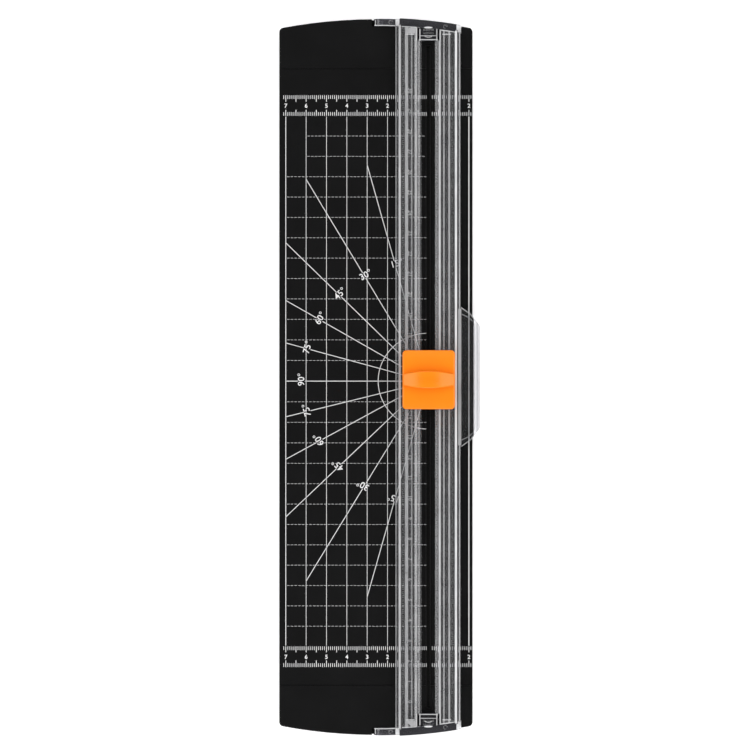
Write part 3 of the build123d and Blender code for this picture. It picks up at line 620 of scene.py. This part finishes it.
def end_beads(bm):
    """Painted highlights as raised lines round the end stop's keyhole, along the end plate and across
    the trough ends.
    """
    for end in (-1, 1):
        for side in (-1, 1):
            xs = [side * (KEYHOLE_X + (DECK_X - KEYHOLE_X) * i / BOW_STEPS)
                  for i in range(BOW_STEPS + 1)]
            bow = [(CUT_X + x, end * bowed(x, PLATE_DEPTH + BOW_MARGIN)) for x in xs]
            beads(bm, ((CUT_X + side * KEYHOLE_X, end * KEYHOLE_Y), bow[0]), DECK_Z)
            beads(bm, [(CUT_X + side * x, end * TROUGH_END_Y) for x in TROUGH_X], DECK_Z)
            beads(bm, bow, DECK_Z)


PAD_X = (-11.2 * MM, -6.3 * MM)       # the pads' sides, from the cut line
PAD_MARGIN = 0.4 * MM                 # from the trough's end
PAD_INSET = 0.8 * MM                  # from the end plate
PAD_SLANT = 2.6 * MM                  # lost from the front pad's far corner


def end_pads(bm):
    """Matt moulded pads between the left trough's ends and the end plates."""
    left, right = CUT_X + PAD_X[0], CUT_X + PAD_X[1]
    near, far = TROUGH_END_Y + PAD_MARGIN, bowed(-9.0 * MM, PLATE_DEPTH + PAD_INSET)
    back = ((left, near), (right, near), (right, far), (left, far))
    front = ((left, -near), (left + PAD_SLANT, -far), (right, -far), (right, -near))
    for outline in (back, front):
        prism(bm, outline, DECK_Z, DECK_Z + BEAD_RISE / 2)


EAR_X = -25.9 * MM                    # the ear's round end, from the cut line
EAR_BEAD_X = [(-26.4 + 1.7 * i) * MM for i in range(7)]
EJECTOR_X = (-18.5 * MM, 8.4 * MM)
EJECTOR_RADIUS = 0.9 * MM


def plate_beads(bm):
    """Painted highlight: a raised line along the inner edge and the round end of each hinge ear."""
    for end in (-1, 1):
        beads(bm, [(CUT_X + x, end * bowed(x, PLATE_DEPTH - 0.2 * MM)) for x in EAR_BEAD_X], PLATE_Z)
        beads(bm, ((CUT_X + EAR_X, end * bowed(EAR_X, PLATE_DEPTH)),
                   (CUT_X + EAR_X, end * bowed(EAR_X, 0.9 * MM))), EAR_END_Z)


def ejector_marks(bm):
    """Round marks that the mould's ejector pins left on the end plates."""
    for end in (-1, 1):
        for x in EJECTOR_X:
            centre = (CUT_X + x, end * bowed(x, PLATE_DEPTH / 2))
            arc_stroke(bm, centre, EJECTOR_RADIUS, 0.0, 1.5 * math.pi, 0.2 * MM, PLATE_Z,
                       PLATE_Z + BEAD_RISE, 24)


STOP_HALF = 4.15 * MM
STOP_INSET = 0.3 * MM                 # from the stop's near end to its first bead
CROSS_BAR = 2.2 * MM                  # from the stop's near end to its cross bar
SMILE_RADIUS = 3.4 * MM
SMILE_RISE = 2.1 * MM                 # from the stop's middle to the smile's centre


def stop_beads(bm):
    """Painted highlights on each end stop: a raised line round it, a cross bar and the smile of its
    finger scoop.
    """
    for node in ("end_stop_front", "end_stop_back"):
        low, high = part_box(node)
        end = -1 if node.endswith("front") else 1
        near = min(abs(low.y), abs(high.y))
        far = max(abs(low.y), abs(high.y))
        left, right, top = CUT_X - STOP_HALF, CUT_X + STOP_HALF, high.z
        first_y, bar_y = end * (near + STOP_INSET), end * (near + CROSS_BAR)
        beads(bm, ((left, end * far), (left, first_y), (right, first_y), (right, end * far)), top)
        beads(bm, ((left, bar_y), (right, bar_y)), top, THIN_BEAD)
        middle_y = end * (near + far) / 2
        arc_stroke(bm, (CUT_X, middle_y + SMILE_RISE), SMILE_RADIUS, math.radians(238),
                   math.radians(302), THIN_BEAD, top, top + BEAD_RISE, 12)
        for x in (left, right):
            arc_stroke(bm, (x, first_y), 0.25 * MM, 0.0, 2 * math.pi, 0.5 * MM, top,
                       top + 2 * BEAD_RISE, 12)


LENS_HALF = 2.1 * MM
LENS_DEPTH = 0.9 * MM


def plate_lenses(bm):
    """A painted highlight: a small bright lens-shaped piece on each end plate, where the end stop
    meets it.
    """
    angles = [math.radians(a) for a in range(0, 360, 20)]
    for end in (-1, 1):
        near = bowed(0.0, PLATE_DEPTH)
        outline = [(CUT_X + LENS_HALF * math.cos(a),
                    end * (near + LENS_DEPTH / 2 + LENS_DEPTH / 2 * math.sin(a))) for a in angles]
        prism(bm, outline, PLATE_Z, PLATE_Z + BEAD_RISE)


new_piece("plate_lenses", plate_lenses, GLINT, "rail")
new_piece("end_beads", end_beads, FROSTED_AND_HIGHLIGHT, "rail")
new_piece("end_pads", end_pads, PAD_CLEAR, "rail")
new_piece("plate_beads", plate_beads, FROSTED_AND_HIGHLIGHT, "rail")
new_piece("ejector_marks", ejector_marks, TICK_CLEAR, "rail")
new_piece("stop_beads", stop_beads, FROSTED_AND_HIGHLIGHT, "rail")

# The lift tab's outline and its rim's inner edge, from the root to the long side, as mm
# from the cut line and along Y, for the half on the +Y side
TAB_OUTLINE = ((16.1, 34.1), (20.8, 30.7), (25.1, 24.8))
TAB_INSIDE = ((16.1, 31.0), (18.1, 30.1), (20.2, 29.0), (22.0, 27.2), (22.8, 24.9))
TAB_EDGE_Z = FLANGE_Z + 1.2 * MM
TAB_FLOOR_Z = FLANGE_Z + 0.2 * MM
TAB_ROOT_X = (14.7 * MM, 16.2 * MM)   # the matt strip's sides, from the cut line
TAB_ROOT_Y = 33.5 * MM                # and its ends


def tab_beads(bm):
    """Painted highlights: thin raised lines along the lift tab's edge and its rim."""
    for outline, height in ((TAB_OUTLINE, TAB_EDGE_Z), (TAB_INSIDE, TAB_FLOOR_Z)):
        half = [(CUT_X + x * MM, y * MM) for x, y in outline]
        mirrored = [(x, -y) for x, y in reversed(half)]
        beads(bm, half + mirrored, height, THIN_BEAD)


def tab_root(bm):
    """A matt strip on the flange where the tab joins it."""
    left, right = CUT_X + TAB_ROOT_X[0], CUT_X + TAB_ROOT_X[1]
    outline = ((left, -TAB_ROOT_Y), (right, -TAB_ROOT_Y), (right, TAB_ROOT_Y), (left, TAB_ROOT_Y))
    prism(bm, outline, TAB_FLOOR_Z, TAB_FLOOR_Z + BEAD_RISE)


new_piece("tab_beads", tab_beads, FROSTED_AND_HIGHLIGHT, "rail")
new_piece("tab_root", tab_root, FROSTED_AND_HIGHLIGHT, "rail")

# ---- grip marks on the slider's ridge -----------------------------------------------

RIDGE_RADIUS = 28.8 * MM              # arch of the ridge's back
GRIP_ROW = 0.8 * MM                   # each row's distance from the ridge's middle
GRIP_PITCH = 2.2 * MM
GRIP_HALF = 0.75 * MM
GRIP_WIDTH = 0.35 * MM


def grip_marks(bm):
    """Short raised bars in two rows on top of the finger ridge."""
    middle_y = (COVER_LOW.y + COVER_HIGH.y) / 2
    for y in (middle_y - GRIP_ROW, middle_y + GRIP_ROW):
        for column in range(-2, 3):
            x = column * GRIP_PITCH
            surface = COVER_HIGH.z - RIDGE_RADIUS + math.sqrt(RIDGE_RADIUS ** 2 - x * x)
            stroke(bm, (CUT_X + x - GRIP_HALF, y), (CUT_X + x + GRIP_HALF, y), GRIP_WIDTH,
                   surface - 0.3 * MM, surface + 0.2 * MM)


new_piece("grip_marks", grip_marks, MATERIALS["cover_orange"], "press")

# ---- return springs -----------------------------------------------------------------

COILS = 6.5
STEPS_PER_COIL = 24
END_SHARE = 0.12                      # of the wire, closed up flat at each end
WIRE_RADIUS = 0.25 * MM


def coil_spring(name, node):
    """A wire coil in the place of a spring's plain tube, with its end turns closed."""
    low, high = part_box(node)
    axis_x, axis_y = (low.x + high.x) / 2, (low.y + high.y) / 2
    radius = (high.x - low.x) / 2 - WIRE_RADIUS
    bottom, top = low.z + WIRE_RADIUS, high.z - WIRE_RADIUS
    curve = bpy.data.curves.new(name, "CURVE")
    curve.dimensions = "3D"
    curve.bevel_depth = WIRE_RADIUS
    curve.bevel_resolution = 3
    curve.use_fill_caps = True
    count = int(COILS * STEPS_PER_COIL)
    spline = curve.splines.new("POLY")
    spline.points.add(count)
    for i in range(count + 1):
        turn = 2 * math.pi * i / STEPS_PER_COIL
        share = i / count
        rise = min(max((share - END_SHARE) / (1.0 - 2 * END_SHARE), 0.0), 1.0)
        place = (axis_x + radius * math.cos(turn), axis_y + radius * math.sin(turn),
                 bottom + (top - bottom) * rise, 1.0)
        spline.points[i].co = place
    holder = bpy.data.objects.new("wire", curve)
    mesh = bpy.data.meshes.new_from_object(holder)
    bpy.data.objects.remove(holder)
    spring = bpy.data.objects.new(name, mesh)
    bpy.context.scene.collection.objects.link(spring)
    mesh.materials.clear()
    mesh.materials.append(MATERIALS["spring_steel"])
    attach(spring, "carriage")
    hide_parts(node)
    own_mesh(spring)


coil_spring("spring_coil_front", "return_spring_front")
coil_spring("spring_coil_back", "return_spring_back")

# ---- studio -------------------------------------------------------------------------

FLOOR_HALF = 4.0
FLOOR_GLOW = 0.36
SURROUND = 0.2
LIGHT_ELEVATION = 48
LIGHT_DISTANCE = 1.4
LIGHT_SIZE = (1.1, 1.0)
# Each light's name, azimuth in degrees and power in watts
LIGHTS = (("light_right", 90, 9.5), ("light_left", 270, 9.5), ("light_back", 180, 6.0),
          ("light_front", 0, 9.0))
CAMERA_HEIGHT = 1.7
VIEW_WIDTH = 368.5 * MM               # across the picture, on the board
VIEW_LEFT = 0.45 * MM                 # the picture's middle, left of the board's
VIEW_BACK = 1.0 * MM                  # and behind it


def floor():
    """A pale floor, far larger than the view."""
    material, nodes, links, shader = new_material("studio_floor")
    links.new(ramp(nodes, links, noise(nodes, links, 3.0), ((0.3, 0.93), (0.7, 0.95))),
              shader.inputs["Base Color"])
    shader.inputs["Roughness"].default_value = 0.9
    shader.inputs["Specular IOR Level"].default_value = 0.0
    shader.inputs["Emission Color"].default_value = (1.0, 1.0, 1.0, 1.0)
    shader.inputs["Emission Strength"].default_value = FLOOR_GLOW
    mesh = bpy.data.meshes.new("studio_floor")
    half = FLOOR_HALF
    corners = ((-half, -half, 0), (half, -half, 0), (half, half, 0), (-half, half, 0))
    mesh.from_pydata(corners, [], [(0, 1, 2, 3)])
    plane = bpy.data.objects.new("studio_floor", mesh)
    bpy.context.scene.collection.objects.link(plane)
    mesh.materials.append(material)


def softbox(name, azimuth, elevation, distance, size, power):
    """A soft rectangular light that looks at the middle of the object."""
    light = bpy.data.lights.new(name, "AREA")
    light.shape = "RECTANGLE"
    light.size, light.size_y = size
    light.energy = power
    lamp = bpy.data.objects.new(name, light)
    a, e = math.radians(azimuth), math.radians(elevation)
    away = Vector((math.sin(a) * math.cos(e), -math.cos(a) * math.cos(e), math.sin(e)))
    lamp.location = away * distance
    lamp.rotation_mode = "QUATERNION"
    lamp.rotation_quaternion = away.to_track_quat("Z", "Y")
    bpy.context.scene.collection.objects.link(lamp)


def studio():
    """Plain light from all four sides and a dim grey surround."""
    world = bpy.data.worlds.new("studio")
    bpy.context.scene.world = world
    world.use_nodes = True
    surround = world.node_tree.nodes["Background"]
    surround.inputs["Color"].default_value = (1.0, 1.0, 1.0, 1.0)
    surround.inputs["Strength"].default_value = SURROUND
    for name, azimuth, power in LIGHTS:
        softbox(name, azimuth, LIGHT_ELEVATION, LIGHT_DISTANCE, LIGHT_SIZE, power)
    bpy.context.scene.view_settings.view_transform = "Standard"


def camera():
    """Straight down from high above, the board upright in the view."""
    lens = bpy.data.cameras.new("camera")
    lens.sensor_width = 36.0
    lens.lens = lens.sensor_width * (CAMERA_HEIGHT - BASE_HIGH.z) / VIEW_WIDTH
    lens.clip_start, lens.clip_end = 0.05, 10.0
    holder = bpy.data.objects.new("camera", lens)
    holder.location = (BASE_X - VIEW_LEFT, BASE_Y + VIEW_BACK, CAMERA_HEIGHT)
    bpy.context.scene.collection.objects.link(holder)
    bpy.context.scene.camera = holder


floor()
studio()
camera()
